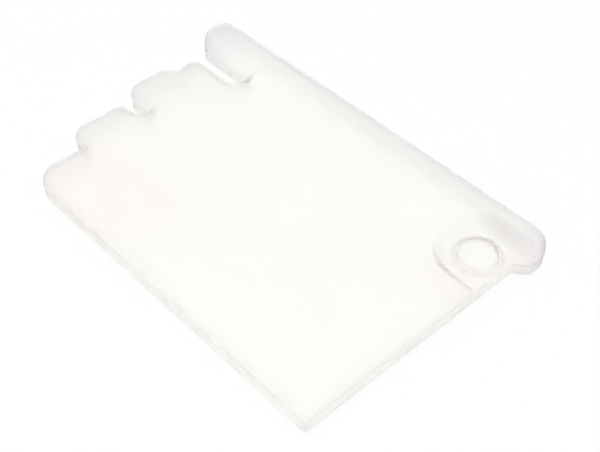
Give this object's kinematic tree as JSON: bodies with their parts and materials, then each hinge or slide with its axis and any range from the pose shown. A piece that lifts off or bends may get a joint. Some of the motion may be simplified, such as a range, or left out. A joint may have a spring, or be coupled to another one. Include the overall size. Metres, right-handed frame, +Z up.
{
  "type": "condenser dryer water tank",
  "caption": "Flat blow-moulded water tank for a condenser dryer, with a stepped and slotted front edge, a rounded rail along one side and an open filling collar on a sunk pad.",
  "frame": {"origin": "middle of the bounding box on the base that the tank lies on", "axes": "+X from the stepped front edge to the rear, along the rail; +Y from the plain side to the rail side; +Z up, out of the filling collar"},
  "size_m": [0.4994, 0.3214, 0.0355],
  "materials": {
    "water_tank": "milky natural polyethylene, satin, a little translucent"
  },
  "bodies": {
    "root": {"water_tank": "water_tank"}
  },
  "joints": []
}
